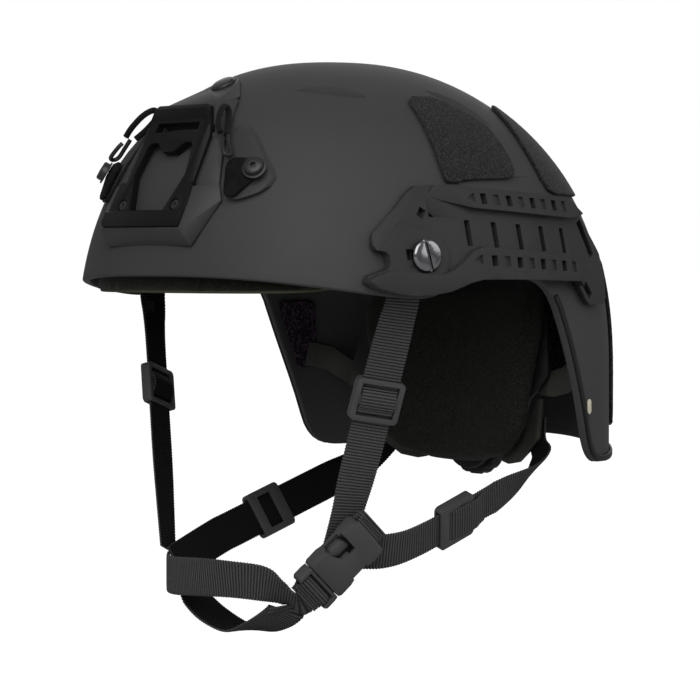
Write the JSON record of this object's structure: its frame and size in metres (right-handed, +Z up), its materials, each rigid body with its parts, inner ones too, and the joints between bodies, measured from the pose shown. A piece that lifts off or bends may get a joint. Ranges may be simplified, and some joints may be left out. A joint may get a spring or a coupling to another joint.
{
  "type": "combat helmet",
  "caption": "Combat helmet with ear cut-outs, side accessory rails, a front shroud, comfort pads, a dial-fitted nape cradle and a chinstrap with a side-release buckle.",
  "frame": {"origin": "on the mid-plane at brow level, midway between the shell's sides, inside the shell where the wearer's head goes", "axes": "+X towards the wearer's left, -Y towards the front, +Z up"},
  "size_m": [0.2374, 0.2647, 0.2782],
  "materials": {
    "coated_composite": "matt textured coating on the moulded composite shell",
    "edge_rubber": "satin",
    "rail_polymer": "fine moulded grain",
    "bright_steel": "bright",
    "shroud_polymer": "fine moulded grain",
    "black_anodised": "satin black over aluminium",
    "black_steel": "blackened",
    "anchor_polymer": "fine moulded grain",
    "cord": "braided",
    "hook_polymer": "satin",
    "loop_fabric": "brushed loop pile",
    "band_fabric": "woven",
    "pad_fabric": "knitted cover over foam",
    "nape_fabric": "smooth cover over foam",
    "hook_fabric": "moulded hook strip",
    "arm_polymer": "moulded",
    "cream_polymer": "moulded",
    "black_polymer": "moulded",
    "webbing": "woven webbing",
    "buckle_polymer": "moulded acetal"
  },
  "bodies": {
    "helmet": {"shell": "coated_composite", "rear_edge_trim": "edge_rubber", "rail_left": "rail_polymer", "rail_right": "rail_polymer", "temple_bolts": "bright_steel", "temple_nuts": "black_steel", "shroud_frame": "shroud_polymer", "shroud_insert": "black_anodised", "shroud_top_bolt": "black_steel", "shroud_screws": "black_steel", "anchor_plate_left": "anchor_polymer", "anchor_plate_right": "anchor_polymer", "anchor_bolts": "black_steel", "lanyard_tab_left": "band_fabric", "lanyard_tab_right": "band_fabric", "lanyard_hook_left": "hook_polymer", "lanyard_hook_right": "hook_polymer", "lanyard_cord_left": "cord", "lanyard_cord_right": "cord", "loop_patch_side_left": "loop_fabric", "loop_patch_side_right": "loop_fabric", "loop_patch_rear_left": "loop_fabric", "loop_patch_rear_right": "loop_fabric", "loop_patch_back": "loop_fabric", "headband": "band_fabric", "brow_pad": "pad_fabric", "crown_pad": "pad_fabric", "side_pad_left": "pad_fabric", "side_pad_right": "pad_fabric", "rear_pad": "pad_fabric", "hook_strip_left": "hook_fabric", "hook_strip_right": "hook_fabric", "hanger_arm_left": "arm_polymer", "hanger_arm_right": "arm_polymer", "rear_plugs": "cream_polymer", "front_strap_left": "webbing", "front_strap_right": "webbing", "rear_strap_left": "webbing", "rear_strap_right": "webbing", "chin_strap": "webbing", "chin_cup_strap": "webbing", "buckle_socket": "buckle_polymer", "buckle_tab": "webbing"},
    "cradle": {"nape_cradle": "black_polymer", "nape_pad": "nape_fabric", "cradle_bracket_left": "arm_polymer", "cradle_bracket_right": "arm_polymer", "dial_housing": "black_polymer"},
    "dial": {"dial_knob": "black_polymer"},
    "buckle_male": {"buckle_plug": "buckle_polymer"},
    "ladder_slider_left": {"ladder_lock_left": "buckle_polymer"},
    "ladder_slider_right": {"ladder_lock_right": "buckle_polymer"},
    "glide_slider_left": {"tri_glide_left": "buckle_polymer"},
    "glide_slider_right": {"tri_glide_right": "buckle_polymer"}
  },
  "joints": [
    {"name": "dial_turn", "type": "hinge", "parent": "cradle", "child": "dial", "pos_m": [0, 0.08822, -0.079], "axis": [0, 0.9939, -0.1104], "range_deg": [0, 450]},
    {"name": "cradle_slide", "type": "slide", "parent": "helmet", "child": "cradle", "axis": [0, -1, 0], "range_m": [0, 0.008], "deforming": ["hanger_arm_left", "hanger_arm_right", "rear_strap_left", "rear_strap_right"]},
    {"name": "buckle_release", "type": "slide", "parent": "helmet", "child": "buckle_male", "axis": [-0.3456, -0.6121, -0.7113], "range_m": [0, 0.026], "deforming": ["chin_strap", "chin_cup_strap"]},
    {"name": "ladder_lock_left_slide", "type": "slide", "parent": "helmet", "child": "ladder_slider_left", "axis": [-0.3259, -0.0264, -0.945], "range_m": [-0.008, 0.008]},
    {"name": "ladder_lock_right_slide", "type": "slide", "parent": "helmet", "child": "ladder_slider_right", "axis": [0.3245, -0.1851, -0.9276], "range_m": [-0.008, 0.008]},
    {"name": "tri_glide_left_slide", "type": "slide", "parent": "helmet", "child": "glide_slider_left", "axis": [-0.0499, -0.9324, -0.358], "range_m": [-0.008, 0.008]},
    {"name": "tri_glide_right_slide", "type": "slide", "parent": "helmet", "child": "glide_slider_right", "axis": [0.1093, -0.9549, -0.2761], "range_m": [-0.008, 0.008]}
  ],
  "couplings": [
    {"joint": "dial_turn", "follows": "cradle_slide", "rad_per_m": 981.7}
  ]
}
